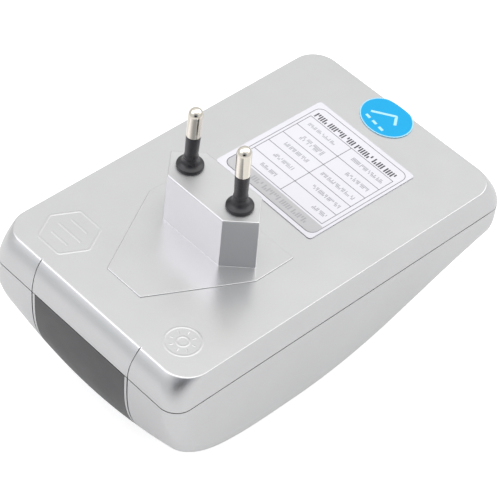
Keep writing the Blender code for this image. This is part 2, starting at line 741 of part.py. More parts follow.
# Place on the board and distance from the middle to each lead, in millimetres
BOARD_PARTS = {
    "fuse": (9.5, 7.0, 8.5),
    "varistor": (-14.0, -6.0, 3.75),
    "dropper_capacitor": (10.5, -6.5, 7.5),
    "bleed_resistor": (10.5, -13.5, 5.5),
    "smoothing_capacitor": (-14.0, -14.5, 1.75),
    "led_resistor": (10.5, -18.0, 5.0),
    "rectifier_diode_1": (-14.0, -33.0, 5.0),
    "rectifier_diode_2": (-14.0, -29.5, 5.0),
    "rectifier_diode_3": (-14.0, -26.0, 5.0),
    "rectifier_diode_4": (-14.0, -22.5, 5.0),
}


def board_part(name, spread):
    """One part of the circuit, standing on its leads."""
    if name == "fuse":
        return axial_part(name, "glass", 2.6 * MM, 15 * MM, spread)
    if name == "varistor":
        return disc_part(name, "ceramic_blue", 6 * MM, 4 * MM, spread)
    if name == "dropper_capacitor":
        return upright_box_part(name, "yellow_case", (18 * MM, 8 * MM, 12 * MM), spread)
    if name == "bleed_resistor":
        return axial_part(name, "resistor", 1.3 * MM, 7 * MM, spread)
    if name == "smoothing_capacitor":
        return can_part(name, "grey_case", 4 * MM, 11 * MM, spread)
    if name == "led_resistor":
        return axial_part(name, "resistor", 1.2 * MM, 6 * MM, spread)
    return axial_part(name, "black_plastic", 1.35 * MM, 5 * MM, spread)


WIRE_PADS = {
    "live_wire": (21.5 * MM, 0.0 * MM),
    "neutral_wire": (-9.0 * MM, 3.0 * MM),
    "capacitor_lead_1": (-3.0 * MM, 9.5 * MM),
    "capacitor_lead_2": (-15.5 * MM, 9.5 * MM),
}
LED_PLACES = ((-6.0 * MM, -31.0 * MM), (6.0 * MM, -31.0 * MM))


def circuit_board():
    outline = [(-BOARD_HALF_WIDTH, BOARD_NEAR), (BOARD_HALF_WIDTH, BOARD_NEAR),
               (BOARD_HALF_WIDTH, BOARD_FAR), (-BOARD_HALF_WIDTH, BOARD_FAR)]
    board = new_object("circuit_board", prism(outline, 0, -BOARD_THICKNESS), "board")
    holes = [(x * MM, y * MM, 1.7 * MM) for x, y in BOARD_POSTS]
    for x, y, spread in BOARD_PARTS.values():
        holes += [((x + side * spread) * MM, y * MM, HOLE_RADIUS) for side in (-1, 1)]
    for x, y in WIRE_PADS.values():
        holes.append((x, y, HOLE_RADIUS + 0.2 * MM))
    for x, y in LED_PLACES:
        holes += [(x + side * 1.27 * MM, y, HOLE_RADIUS) for side in (-1, 1)]
    for x, y, radius in holes:
        drill(board, x, y, -2 * MM, 4 * MM, radius)
    return board


def film_capacitor():
    wide, long, high = CAPACITOR_SIZE
    outline = rounded_rectangle(-wide / 2, wide / 2, 0, long, 1.5 * MM, 3)
    return new_object("film_capacitor", prism(outline, 0, -high), "grey_case")


def add_circuit(datum):
    place(circuit_board(), datum, (0, 0, -BOARD_TOP))
    for name, (x, y, spread) in BOARD_PARTS.items():
        place(board_part(name, spread * MM), datum, (x * MM, y * MM, -BOARD_TOP + GAP))
    under = -(BOARD_TOP + BOARD_THICKNESS + GAP)
    for number, (x, y) in enumerate(LED_PLACES, 1):
        place(led(f"indicator_led_{number}"), datum, (x, y, under), (math.pi, 0, 0))
    for number, (x, y) in enumerate(BOARD_POSTS, 1):
        fixing = screw(f"board_screw_{number}", *BOARD_SCREW)
        place(fixing, datum, (x * MM, y * MM, -BOARD_TOP + GAP))
    pad_top = -(WALL + GAP)
    pad_under = pad_top - PAD_THICKNESS
    pad = box((-9 * MM, 23 * MM, pad_under), (9 * MM, 57 * MM, pad_top))
    place(new_object("capacitor_pad", pad, "foam"), datum)
    place(film_capacitor(), datum, (0, CAPACITOR_NEAR, pad_under - GAP))
    add_wires(datum)


def add_wires(datum):
    tail = -(FLANGE_BOTTOM + 0.3 * MM + 4 * MM) - 0.5 * MM
    pad_end = -(BOARD_TOP + 2.6 * MM)
    starts = {
        "live_wire": Vector((PIN_SPACING / 2 + 0.65 * MM, 0, tail)),
        "neutral_wire": Vector((-PIN_SPACING / 2 - 0.65 * MM, 0, tail)),
        "capacitor_lead_1": Vector((8 * MM, CAPACITOR_NEAR - 0.5 * MM, -9 * MM)),
        "capacitor_lead_2": Vector((-8 * MM, CAPACITOR_NEAR - 0.5 * MM, -9 * MM)),
    }
    slots = ("red_wire", "black_wire", "red_wire", "black_wire")
    for (name, start), slot in zip(starts.items(), slots):
        x, y = WIRE_PADS[name]
        end = Vector((x, y, pad_end))
        lead_out = Vector((0, 0, -4 * MM)) if "wire" in name else Vector((0, -4 * MM, 0))
        above = Vector((x, y, -BOARD_TOP + 2.5 * MM))
        lead_in = Vector((0, 0, 6 * MM))
        path = bezier(start, start + lead_out, above + lead_in, above) + [end]
        wire = tube(path, WIRE_RADIUS)
        place(new_object(name, wire, slot), datum)


# --- assembly -----------------------------------------------------------------------------

def add_plug(datum):
    place(plug_insert(), datum)
    for side, name in ((-1, "neutral"), (1, "live")):
        base = (side * PIN_SPACING / 2, 0, BOSS_HEIGHT)
        lean = (0, -side * PIN_LEAN, 0)
        place(pin(f"pin_{name}"), datum, base, lean)
        place(pin_sleeve(f"pin_sleeve_{name}"), datum, base, lean)
    for number, (x, y) in enumerate(INSERT_SCREWS, 1):
        fixing = screw(f"insert_screw_{number}", *INSERT_SCREW)
        place(fixing, datum, (x * MM, y * MM, -FLANGE_BOTTOM - GAP), (math.pi, 0, 0))


def add_case(datum):
    place(back_shell(), datum)
    place(front_shell(), datum)
    place(window_frame(), datum)
    place(window_lens(), datum)
    for number, (x, y) in enumerate(CASE_SCREWS, 1):
        fixing = screw(f"case_screw_{number}", *CASE_SCREW)
        place(fixing, datum, (x * MM, y * MM, GAP - SCREW_SEAT))
    place(rating_label(), datum, (*LABEL_CENTRE, 0.05 * MM), (0, 0, LABEL_TURN))
    place(inspection_sticker(), datum)


def main():
    clear_scene()
    datum = bpy.data.objects.new("case_datum", None)
    bpy.context.collection.objects.link(datum)
    datum.location = (0, 0, -BOSS_HEIGHT)
    add_case(datum)
    add_plug(datum)
    add_circuit(datum)


main()
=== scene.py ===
"""Looks of the plug-in power saver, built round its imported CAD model.

The case lies on its rounded front with its flat back and its two pins up.
+Z runs along the pins, +Y from the window end to the thin end, +X across the case.
Depths are measured down from the flat back face.
"""
import json
import math
import random

import bmesh
import bpy
from mathutils import Matrix, Vector

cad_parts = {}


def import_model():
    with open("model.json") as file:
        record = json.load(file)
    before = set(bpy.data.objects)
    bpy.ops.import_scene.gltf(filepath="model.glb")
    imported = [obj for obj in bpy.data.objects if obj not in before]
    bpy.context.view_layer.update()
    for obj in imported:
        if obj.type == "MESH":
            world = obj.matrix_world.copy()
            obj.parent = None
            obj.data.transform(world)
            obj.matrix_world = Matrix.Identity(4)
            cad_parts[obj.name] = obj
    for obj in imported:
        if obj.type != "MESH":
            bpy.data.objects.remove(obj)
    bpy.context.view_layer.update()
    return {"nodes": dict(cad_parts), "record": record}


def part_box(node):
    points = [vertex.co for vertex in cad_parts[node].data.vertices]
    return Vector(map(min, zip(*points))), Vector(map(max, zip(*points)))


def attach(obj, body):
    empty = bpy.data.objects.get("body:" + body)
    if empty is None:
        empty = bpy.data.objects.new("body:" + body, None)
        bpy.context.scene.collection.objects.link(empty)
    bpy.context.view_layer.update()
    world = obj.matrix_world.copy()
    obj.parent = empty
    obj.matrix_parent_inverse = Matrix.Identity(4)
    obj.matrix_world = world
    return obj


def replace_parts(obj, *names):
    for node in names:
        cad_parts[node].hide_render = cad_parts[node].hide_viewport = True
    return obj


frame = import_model()

MM = 0.001

# Places read from the frame
back_low, back_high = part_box("back_shell")
front_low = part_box("front_shell")[0]
insert_low, insert_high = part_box("plug_insert")
label_low, label_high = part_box("rating_label")
sticker_low, sticker_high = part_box("inspection_sticker")
pin_low, pin_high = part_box("pin_live")
BACK_Z = back_high.z
NEAR_END = back_low.y
FAR_END = back_high.y
HALF_WIDTH = back_high.x
BELLY_DEPTH = BACK_Z - front_low.z
BOSS_HEIGHT = insert_high.z - BACK_Z

# Case
NEAR_BULGE = 3.45 * MM
FAR_BULGE = 4.6 * MM
NEAR_POWER = 0.75
BACK_CORNER = 7.5 * MM
PARTING_CORNER = 5.5 * MM
BACK_FILLET = 0.2 * MM
SIDE_DRAFT = 0.083
SEAM_GAP = 0.2 * MM
PARTING_DEPTH = 9.5 * MM
BACK_HALF_WIDTH = HALF_WIDTH - SIDE_DRAFT * PARTING_DEPTH
BACK_NEAR = NEAR_END + NEAR_BULGE
BACK_FAR = FAR_END - FAR_BULGE
WALL = 2.0 * MM
LIP_GAP = 0.3 * MM
LIP_WIDTH = 1.0 * MM
LIP_HEIGHT = 2.0 * MM
EDGE_ROUND = 0.18 * MM
FRONT_TOP = PARTING_DEPTH + SEAM_GAP

# Rounded front
NOSE_CENTRE_Y = 2.0 * MM
NOSE_POWER = 3.8
TAIL_CURVE = 36.3 * MM
TAIL_SLOPE = 0.345
TAIL_FILLET = 8.0 * MM
CROWN_RADIUS = 120.0 * MM
NOSE_BOW_RADIUS = 600.0 * MM
FRONT_FILLET = 9.5 * MM
FILLET_RATE = (0.3, 0.7)
BLEND_DEPTH = 24.0 * MM

# Window, and the grooves in line with its sides
GROOVE_X = 18.85 * MM
GROOVE_FLARE = 0.4 * MM
FLARE_DEPTH = 7.0 * MM
GROOVE_WIDTH = 0.32 * MM
GROOVE_DEPTH = 0.4 * MM
WINDOW_END_Y = -9.4 * MM
FRAME_WIDTH = 0.85 * MM
PANEL_GAP = 0.42 * MM
LENS_THICKNESS = 1.6 * MM

# Plug insert
INSERT_NOSE = 6.5 * MM
INSERT_NEAR = -30.0 * MM
INSERT_SHOULDER_Y = -3.0 * MM
INSERT_HALF = 20.9 * MM
INSERT_FAR = 10.4 * MM
INSERT_PROUD = 0.25 * MM
INSERT_GAP = 0.04 * MM
INSERT_FLANGE = 1.6 * MM
FLANGE_TOP = 2.3 * MM
FLANGE_BOTTOM = 4.0 * MM
BOSS_BASE = (10.8 * MM, 17.5 * MM, 7.0 * MM)
BOSS_TOP = (10.55 * MM, 17.0 * MM, 6.95 * MM)
BOSS_EDGE = 0.35 * MM
BOSS_CORNER = 0.3 * MM
BORE_RADIUS = 1.6 * MM

# Pins
PIN_SPACING = 19.0 * MM
PIN_LEAN = math.radians(1.48)
PIN_LENGTH = 20.4 * MM
PIN_RADIUS = 2.0 * MM
CORE_RADIUS = 1.3 * MM
SLEEVE_LENGTH = 11.3 * MM

# Screws that reach into the moulded posts: x and y in millimetres
CASE_SCREWS = ((-15.2, 40.0), (15.2, 40.0))
INSERT_SCREWS = ((-25.1, 4.0), (25.1, 4.0), (-17.4, -18.5), (17.4, -18.5))
BOARD_SCREWS = ((-22.5, -30.0), (22.5, -30.0), (-22.5, 6.0), (22.5, 6.0))

# Label, in its own axes: u across, v towards the thin end
LABEL_TURN = math.radians(-1.2)
LABEL_HALF_U = 18.8 * MM
LABEL_HALF_V = 19.65 * MM
LABEL_CORNER = 1.0 * MM
INK_HEIGHT = 0.02 * MM
RULE_WIDTH = 0.2 * MM

# Sticker
STICKER_HALF = (8.5 * MM, 7.0 * MM)
STICKER_TURN = math.radians(-9.7)
STICKER_CENTRE = (-1.8 * MM, 68.5 * MM)
FOLD_RADIUS = 2.6 * MM
FOLD_START = -0.45 * MM
STICKER_LIFT = 0.25 * MM
STICKER_UNDER = 0.03 * MM
RIM_WIDTH = 0.35 * MM


# --- mesh helpers -------------------------------------------------------------------------

def finish_mesh(name, bm, material, sharp_angle=40.0, weighted=True):
    """New object riding on the one body, with smooth shading broken at sharp edges."""
    bmesh.ops.remove_doubles(bm, verts=bm.verts, dist=1e-7)
    bmesh.ops.recalc_face_normals(bm, faces=bm.faces)
    mesh = bpy.data.meshes.new(name)
    bm.to_mesh(mesh)
    bm.free()
    obj = bpy.data.objects.new(name, mesh)
    bpy.context.scene.collection.objects.link(obj)
    mesh.materials.append(material)
    shade(obj, sharp_angle, weighted)
    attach(obj, "root")
    return obj


def shade(obj, sharp_angle=40.0, weighted=True):
    obj.data.shade_smooth()
    obj.data.set_sharp_from_angle(angle=math.radians(sharp_angle))
    if weighted and not obj.modifiers:
        normals = obj.modifiers.new("flat faces stay flat", "WEIGHTED_NORMAL")
        normals.keep_sharp = True


def tool_object(bm):
    mesh = bpy.data.meshes.new("tool")
    bmesh.ops.recalc_face_normals(bm, faces=bm.faces)
    bm.to_mesh(mesh)
    bm.free()
    obj = bpy.data.objects.new("tool", mesh)
    bpy.context.scene.collection.objects.link(obj)
    return obj


def combine(target, bm, operation):
    """Cut, join or intersect target with the closed mesh in bm."""
    tool = tool_object(bm)
    kept = list(target.data.materials)
    target.modifiers.clear()
    step = target.modifiers.new(operation, "BOOLEAN")
    step.operation = operation
    step.object = tool
    step.solver = "EXACT"
    bpy.context.view_layer.update()
    graph = bpy.context.evaluated_depsgraph_get()
    result = bpy.data.meshes.new_from_object(target.evaluated_get(graph))
    target.modifiers.clear()
    target.data = result
    result.materials.clear()
    for material in kept:
        result.materials.append(material)
    bpy.data.objects.remove(tool)


def ring_stack(rings):
    """Closed solid through point rings of equal length."""
    bm = bmesh.new()
    rows = [[bm.verts.new(point) for point in ring] for ring in rings]
    count = len(rows[0])
    for upper, lower in zip(rows, rows[1:]):
        for i in range(count):
            j = (i + 1) % count
            bm.faces.new((upper[i], lower[i], lower[j], upper[j]))
    bm.faces.new(rows[0])
    bm.faces.new(list(reversed(rows[-1])))
    return bm


def turned(profile, steps=48, hollow=False):
    """Solid of revolution about Z from (radius, height) pairs; hollow joins the last pair to the first."""
    bm = bmesh.new()
    rows = []
    for radius, height in profile:
        angles = [math.tau * i / steps for i in range(steps)]
        rows.append([bm.verts.new((radius * math.cos(a), radius * math.sin(a), height)) for a in angles])
    pairs = list(zip(rows, rows[1:]))
    if hollow:
        pairs.append((rows[-1], rows[0]))
    for upper, lower in pairs:
        for i in range(steps):
            j = (i + 1) % steps
            bm.faces.new((upper[i], lower[i], lower[j], upper[j]))
    if not hollow:
        bm.faces.new(rows[0])
        bm.faces.new(list(reversed(rows[-1])))
    return bm


def moved(bm, offset):
    bmesh.ops.translate(bm, verts=bm.verts, vec=offset)
    return bm


def prism(outline, top, bottom):
    return ring_stack([[(x, y, top) for x, y in outline], [(x, y, bottom) for x, y in outline]])


def box(low, high):
    outline = [(low[0], low[1]), (high[0], low[1]), (high[0], high[1]), (low[0], high[1])]
    return prism(outline, high[2], low[2])


def arc(cx, cy, radius, start, end, steps):
    """Points on an arc, angles in degrees."""
    angles = [math.radians(start + (end - start) * i / steps) for i in range(steps + 1)]
    return [(cx + radius * math.cos(a), cy + radius * math.sin(a)) for a in angles]


def rounded_rectangle(left, right, near, far, radius, steps=8):
    return (arc(right - radius, far - radius, radius, 0, 90, steps)
            + arc(left + radius, far - radius, radius, 90, 180, steps)
            + arc(left + radius, near + radius, radius, 180, 270, steps)
            + arc(right - radius, near + radius, radius, 270, 360, steps))


def grown(outline, margin):
    """Outline with each side pushed out by margin; the outline runs anticlockwise."""
    points = []
    count = len(outline)
    for i in range(count):
        here = Vector(outline[i])
        into = (here - Vector(outline[i - 1])).normalized()
        away = (Vector(outline[(i + 1) % count]) - here).normalized()
        normal_in = Vector((into.y, -into.x))
        normal_out = Vector((away.y, -away.x))
        middle = (normal_in + normal_out).normalized()
        points.append(tuple(here + middle * (margin / middle.dot(normal_in))))
    return points


def rounded(outline, radius, steps=4):
    """Outline with each corner rounded."""
    points = []
    count = len(outline)
    for i in range(count):
        here = Vector(outline[i])
        into = (here - Vector(outline[i - 1])).normalized()
        away = (Vector(outline[(i + 1) % count]) - here).normalized()
        turn = into.angle(away)
        reach = radius * math.tan(turn / 2)
        start = here - into * reach
        end = here + away * reach
        for k in range(steps + 1):
            t = k / steps
            points.append(tuple((1 - t) ** 2 * start + 2 * t * (1 - t) * here + t * t * end))
    return points


def smooth(value):
    value = min(max(value, 0.0), 1.0)
    return value * value * (3 - 2 * value)


# --- materials ----------------------------------------------------------------------------

class Nodes:
    """Small helper that builds one material's node tree."""

    def __init__(self, name):
        self.material = bpy.data.materials.new(name)
        self.material.use_nodes = True
        self.tree = self.material.node_tree
        self.shader = self.tree.nodes["Principled BSDF"]
        coordinates = self.tree.nodes.new("ShaderNodeTexCoord")
        self.place = coordinates.outputs["Object"]

    def link(self, output, socket):
        self.tree.links.new(output, socket)

    def noise(self, scale, detail=3.0, stretch=(1.0, 1.0, 1.0)):
        mapping = self.tree.nodes.new("ShaderNodeMapping")
        mapping.inputs["Scale"].default_value = stretch
        self.link(self.place, mapping.inputs["Vector"])
        made = self.tree.nodes.new("ShaderNodeTexNoise")
        made.inputs["Scale"].default_value = scale
        made.inputs["Detail"].default_value = detail
        self.link(mapping.outputs["Vector"], made.inputs["Vector"])
        return made.outputs["Fac"]

    def ramp(self, value, low, high):
        """Value mapped from the noise's usual range onto low..high."""
        made = self.tree.nodes.new("ShaderNodeMapRange")
        made.inputs["From Min"].default_value = 0.3
        made.inputs["From Max"].default_value = 0.7
        made.inputs["To Min"].default_value = low
        made.inputs["To Max"].default_value = high
        self.link(value, made.inputs["Value"])
        return made.outputs["Result"]

    def blend(self, factor, first, second):
        made = self.tree.nodes.new("ShaderNodeMix")
        made.data_type = "RGBA"
        made.inputs[6].default_value = (*first, 1.0)
        made.inputs[7].default_value = (*second, 1.0)
        self.link(factor, made.inputs[0])
        return made.outputs[2]

    def bump(self, height, strength, distance):
        made = self.tree.nodes.new("ShaderNodeBump")
        made.inputs["Strength"].default_value = strength
        made.inputs["Distance"].default_value = distance
        self.link(height, made.inputs["Height"])
        self.link(made.outputs["Normal"], self.shader.inputs["Normal"])

    def set(self, socket, value):
        self.shader.inputs[socket].default_value = value


def surface(name, colour, roughness, metallic=0.0, grain=900.0, relief=0.01, shade_by=0.04,
            rough_by=0.05, stretch=(1.0, 1.0, 1.0), coat=0.0, specular=0.5):
    """Moulded, painted or printed surface: slow colour drift, roughness patches and fine grain."""
    nodes = Nodes(name)
    darker = tuple(c * (1 - shade_by) for c in colour)
    lighter = tuple(min(c * (1 + shade_by), 1.0) for c in colour)
    drift = nodes.ramp(nodes.noise(60.0, 2.0), 0.0, 1.0)
    nodes.link(nodes.blend(drift, darker, lighter), nodes.shader.inputs["Base Color"])
    patches = nodes.ramp(nodes.noise(140.0, 3.0), roughness - rough_by, roughness + rough_by)
    nodes.link(patches, nodes.shader.inputs["Roughness"])
    nodes.bump(nodes.noise(grain, 2.0, stretch), relief, 0.1 * MM)
    nodes.set("Metallic", metallic)
    nodes.set("Coat Weight", coat)
    nodes.set("Coat Roughness", 0.25)
    nodes.set("Specular IOR Level", specular)
    return nodes.material


SILVER = surface("silver_paint", (0.60, 0.602, 0.603), 0.30, 0.9, grain=1600.0, relief=0.03,
                 shade_by=0.012, rough_by=0.02)
SILVER_MATT = surface("silver_paint_matt", (0.575, 0.577, 0.578), 0.48, 0.9, grain=1600.0, relief=0.05,
                      shade_by=0.012, rough_by=0.02)
SMOKED = surface("smoked_window", (0.070, 0.070, 0.071), 0.42, grain=2500.0, relief=0.05,
                 shade_by=0.03, rough_by=0.04, specular=0.35)
NICKEL = surface("nickel_plate", (0.73, 0.69, 0.61), 0.12, 1.0, grain=500.0, relief=0.02,
                 shade_by=0.03, rough_by=0.04, stretch=(1.0, 1.0, 14.0))
BLACK = surface("black_sleeve", (0.016, 0.016, 0.019), 0.30, grain=1800.0, relief=0.05,
                shade_by=0.15, rough_by=0.05, specular=0.5)
FOIL = surface("label_foil", (0.64, 0.635, 0.67), 0.45, grain=700.0, relief=0.02,
               shade_by=0.01, rough_by=0.05)
INK = surface("label_rules", (0.19, 0.19, 0.20), 0.5, grain=2000.0, relief=0.02, shade_by=0.08)
TITLE_INK = surface("label_title", (0.06, 0.06, 0.065), 0.5, grain=2000.0, relief=0.02, shade_by=0.2)
TEXT_INK = surface("label_entries", (0.27, 0.27, 0.30), 0.5, grain=2000.0, relief=0.02, shade_by=0.15)
BAR_INK = surface("label_bar", (0.44, 0.44, 0.445), 0.45, grain=1500.0, relief=0.02, shade_by=0.05)
BAR_TEXT = surface("label_bar_entries", (0.33, 0.33, 0.34), 0.5, grain=2000.0, relief=0.02)
BLUE = surface("sticker_blue", (0.010, 0.335, 0.63), 0.5, grain=900.0, relief=0.02, shade_by=0.02, specular=0.15)
RIM = surface("sticker_rim", (0.34, 0.62, 0.76), 0.5, grain=900.0, relief=0.02, shade_by=0.03, specular=0.2)
WHITE_INK = surface("sticker_ink", (0.36, 0.66, 0.72), 0.5, grain=900.0, relief=0.02, shade_by=0.02)

INSIDE_FINISHES = {
    "steel": surface("zinc_steel", (0.62, 0.62, 0.60), 0.32, 1.0, grain=900.0, relief=0.06,
                     shade_by=0.08, rough_by=0.08),
    "board": surface("phenolic_board", (0.50, 0.36, 0.16), 0.55, grain=400.0, relief=0.08,
                     shade_by=0.14, rough_by=0.08, stretch=(1.0, 6.0, 1.0)),
    "yellow_case": surface("yellow_box", (0.74, 0.58, 0.10), 0.42, grain=900.0, relief=0.05),
    "grey_case": surface("grey_box", (0.33, 0.34, 0.36), 0.48, grain=700.0, relief=0.08),
    "foam": surface("foam", (0.78, 0.78, 0.75), 0.9, grain=1500.0, relief=0.6, shade_by=0.08),
    "ceramic_blue": surface("dipped_ceramic", (0.07, 0.18, 0.48), 0.45, grain=300.0, relief=0.15),
    "glass": surface("fuse_tube", (0.72, 0.77, 0.76), 0.10, grain=300.0, relief=0.02, coat=0.5),
    "green_led": surface("tinted_epoxy", (0.12, 0.62, 0.16), 0.16, grain=300.0, relief=0.02, coat=0.4),
    "red_wire": surface("red_insulation", (0.55, 0.03, 0.02), 0.42, grain=900.0, relief=0.05),
    "black_wire": surface("black_insulation", (0.02, 0.02, 0.02), 0.42, grain=900.0, relief=0.05),
    "resistor": surface("lacquer", (0.50, 0.60, 0.54), 0.4, grain=700.0, relief=0.05),
    "black_plastic": BLACK,
}


def finish_inside():
    """Give the CAD nodes that stay their finished materials."""
    slots = {part["node"]: part["material_slot"] for part in frame["record"]["subparts"]}
    for name, node in frame["nodes"].items():
        finish = INSIDE_FINISHES.get(slots[name])
        if finish is None:
            continue
        node.data.materials.clear()
        node.data.materials.append(finish)


# --- case: back half ----------------------------------------------------------------------

def rim_fillet(depth):
    """How far the rim's rounding draws the outline in at a depth."""
    rise = max(BACK_FILLET - depth, 0)
    return BACK_FILLET - math.sqrt(BACK_FILLET**2 - rise**2)


def near_edge(depth):
    return BACK_NEAR + rim_fillet(depth) - NEAR_BULGE * math.sin(math.pi / 2 * (depth / PARTING_DEPTH) ** NEAR_POWER)


def far_edge(depth):
    return BACK_FAR - rim_fillet(depth) + FAR_BULGE * math.sin(math.pi / 2 * depth / PARTING_DEPTH)


def half_width(depth):
    return BACK_HALF_WIDTH + SIDE_DRAFT * depth - rim_fillet(depth)


def back_ring(depth, inset, height=None, groove=0.0):
    """Plan outline of the back half at a depth, drawn in by inset, with a notch for each groove."""
    level = min(depth, PARTING_DEPTH)
    half = half_width(level) - inset
    near = near_edge(level) + inset
    radius = BACK_CORNER + (PARTING_CORNER - BACK_CORNER) * level / PARTING_DEPTH
    outline = rounded_rectangle(-half, half, near, far_edge(level) - inset, max(radius - inset, 1.5 * MM), 20)
    notches = []
    spread = GROOVE_X + GROOVE_FLARE * (1 - smooth(level / FLARE_DEPTH))
    for side in (-1, 1):
        left = side * spread - GROOVE_WIDTH / 2
        right = left + GROOVE_WIDTH
        notches += [(left, near), (left, near + groove), (right, near + groove), (right, near)]
    outline = outline[:63] + notches + outline[63:]
    z = BACK_Z - (depth if height is None else height)
    return [(x, y, z) for x, y in outline]


def back_case():
    """Back half: crisp rounded rim, bulging ends, grooves down the window end, wall and lip inside."""
    rim = [BACK_FILLET * (1 - math.cos(math.radians(6 + 84 * i / 10))) for i in range(11)]
    below = [BACK_FILLET + (PARTING_DEPTH - EDGE_ROUND - BACK_FILLET) * i / 12 for i in range(1, 13)]
    outer = [back_ring(0, 0, groove=GROOVE_DEPTH)]
    outer += [back_ring(depth, 0, groove=GROOVE_DEPTH) for depth in rim + below]
    for angle in (30, 60, 90):
        tuck = EDGE_ROUND * (1 - math.cos(math.radians(angle)))
        drop = EDGE_ROUND * math.sin(math.radians(angle))
        outer.append(back_ring(PARTING_DEPTH - EDGE_ROUND + drop, tuck, groove=GROOVE_DEPTH))
    lip_in = WALL + LIP_GAP
    lip_out = lip_in + LIP_WIDTH
    lip_end = PARTING_DEPTH + LIP_HEIGHT
    inner = [back_ring(PARTING_DEPTH, lip_in), back_ring(lip_end, lip_in), back_ring(lip_end, lip_out),
             back_ring(7 * MM, lip_out), back_ring(6 * MM, WALL), back_ring(WALL, WALL, WALL)]
    case = finish_mesh("back_case", ring_stack(outer + inner), SILVER, 30.0)
    combine(case, prism(insert_outline(INSERT_GAP), BACK_Z + 5 * MM, BACK_Z - 5 * MM), "DIFFERENCE")
    for x, y in CASE_SCREWS:
        combine(case, post(x, y, WALL - 0.5 * MM, 5 * MM, 3.8 * MM), "UNION")
        combine(case, post(x, y, -1 * MM, 2.6 * MM, 2.9 * MM), "DIFFERENCE")
        combine(case, post(x, y, 2 * MM, 6 * MM, 1.7 * MM), "DIFFERENCE")
    for x, y in INSERT_SCREWS:
        combine(case, post(x, y, WALL - 0.5 * MM, FLANGE_BOTTOM, 2 * MM), "UNION")
        combine(case, post(x, y, 1 * MM, FLANGE_BOTTOM + 1 * MM, 1.3 * MM), "DIFFERENCE")
    shade(case, 30.0)
    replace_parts(case, "back_shell")


def post(x, y, top, bottom, radius):
    """Upright round bar between two depths; x and y in millimetres."""
    return moved(turned([(radius, BACK_Z - top), (radius, BACK_Z - bottom)], 24), (x * MM, y * MM, 0))


# --- case: rounded front ------------------------------------------------------------------

def nose_curve(share):
    return (1 - share**NOSE_POWER) ** (1 / NOSE_POWER)


NOSE_LENGTH = (NOSE_CENTRE_Y - NEAR_END) / nose_curve(PARTING_DEPTH / BELLY_DEPTH)


def belly_depth(y):
    run = y - NOSE_CENTRE_Y
    if run < TAIL_CURVE:
        return BELLY_DEPTH - TAIL_SLOPE * run**2 / (2 * TAIL_CURVE)
    return BELLY_DEPTH - TAIL_SLOPE * (run - TAIL_CURVE / 2)


def centre_line(inset):
    """(y, depth) along the front's centre line, from the window end round to the thin end."""
    length = NOSE_LENGTH - inset
    deep = BELLY_DEPTH - inset
    start = math.asin((FRONT_TOP / deep) ** (NOSE_POWER / 2))
    nose_steps, tail_steps, end_steps = 44, 32, 10
    points = []
    for i in range(nose_steps):
        angle = start + (math.pi / 2 - start) * i / nose_steps
        reach = math.cos(angle) ** (2 / NOSE_POWER)
        points.append((NOSE_CENTRE_Y - length * reach, deep * math.sin(angle) ** (2 / NOSE_POWER)))
    last = FAR_END - TAIL_FILLET
    for i in range(tail_steps + 1):
        y = NOSE_CENTRE_Y + (last - NOSE_CENTRE_Y) * i / tail_steps
        points.append((y, belly_depth(y) - inset))
    radius = TAIL_FILLET - inset
    lean = math.atan(TAIL_SLOPE)
    base = belly_depth(last) - TAIL_FILLET
    for i in range(1, end_steps + 1):
        angle = lean + (math.pi / 2 - lean) * i / end_steps
        points.append((last + radius * math.sin(angle), base + radius * math.cos(angle)))
    points.append((FAR_END - inset, FRONT_TOP))
    return points


def plan_half_width(y, inset):
    radius = PARTING_CORNER - inset
    gap = min(y - (NEAR_END + inset), (FAR_END - inset) - y)
    shy = min(max(radius - gap, 0), radius)
    return HALF_WIDTH - inset - radius + math.sqrt(radius**2 - shy**2)


def section(y, depth, inset, groove):
    """Points across the front's skin at one place on the centre line."""
    half = plan_half_width(y, inset)
    share = smooth((depth - FRONT_TOP) / BLEND_DEPTH)
    past_nose = smooth((y - NEAR_END) / (NOSE_CENTRE_Y - NEAR_END))
    rate = FILLET_RATE[0] + (FILLET_RATE[1] - FILLET_RATE[0]) * past_nose
    radius = min(FRONT_FILLET - inset, rate * (depth - FRONT_TOP))
    lean = math.atan((half - radius) / CROWN_RADIUS) * share
    join = half - radius + radius * math.sin(lean)

    def crown(x):
        return depth - share * x * x / (2 * CROWN_RADIUS)

    centre = crown(join) - radius * math.cos(lean)
    right = [(half, FRONT_TOP)]
    corner_steps = 14
    for i in range(corner_steps + 1):
        angle = (math.pi / 2 - lean) * i / corner_steps
        right.append((half - radius + radius * math.cos(angle), centre + radius * math.sin(angle)))
    outside = GROOVE_X + GROOVE_WIDTH / 2
    inside = GROOVE_X - GROOVE_WIDTH / 2
    for i in range(3, 0, -1):
        x = outside + (join - outside) * i / 4
        right.append((x, crown(x)))
    right += [(outside, crown(outside)), (outside, crown(outside) - groove),
              (inside, crown(inside) - groove), (inside, crown(inside))]
    for i in range(6, 0, -1):
        x = inside * i / 7
        right.append((x, crown(x)))
    across = [(-x, d) for x, d in right] + [(0, depth)] + list(reversed(right))
    fade = share * smooth((NOSE_CENTRE_Y - y) / (NOSE_CENTRE_Y - NEAR_END))
    points = []
    for x, d in across:
        bow = fade * smooth((d - FRONT_TOP) / BLEND_DEPTH) * x * x / (2 * NOSE_BOW_RADIUS)
        points.append(Vector((x, y + bow, BACK_Z - d)))
    return points


def groove_depth_at(y):
    """The front's grooves start at the window and run out just before the thin end."""
    if y < WINDOW_END_Y - 2 * MM:
        return 0.0
    return GROOVE_DEPTH * smooth((FAR_END - 2 * MM - y) / (6 * MM))


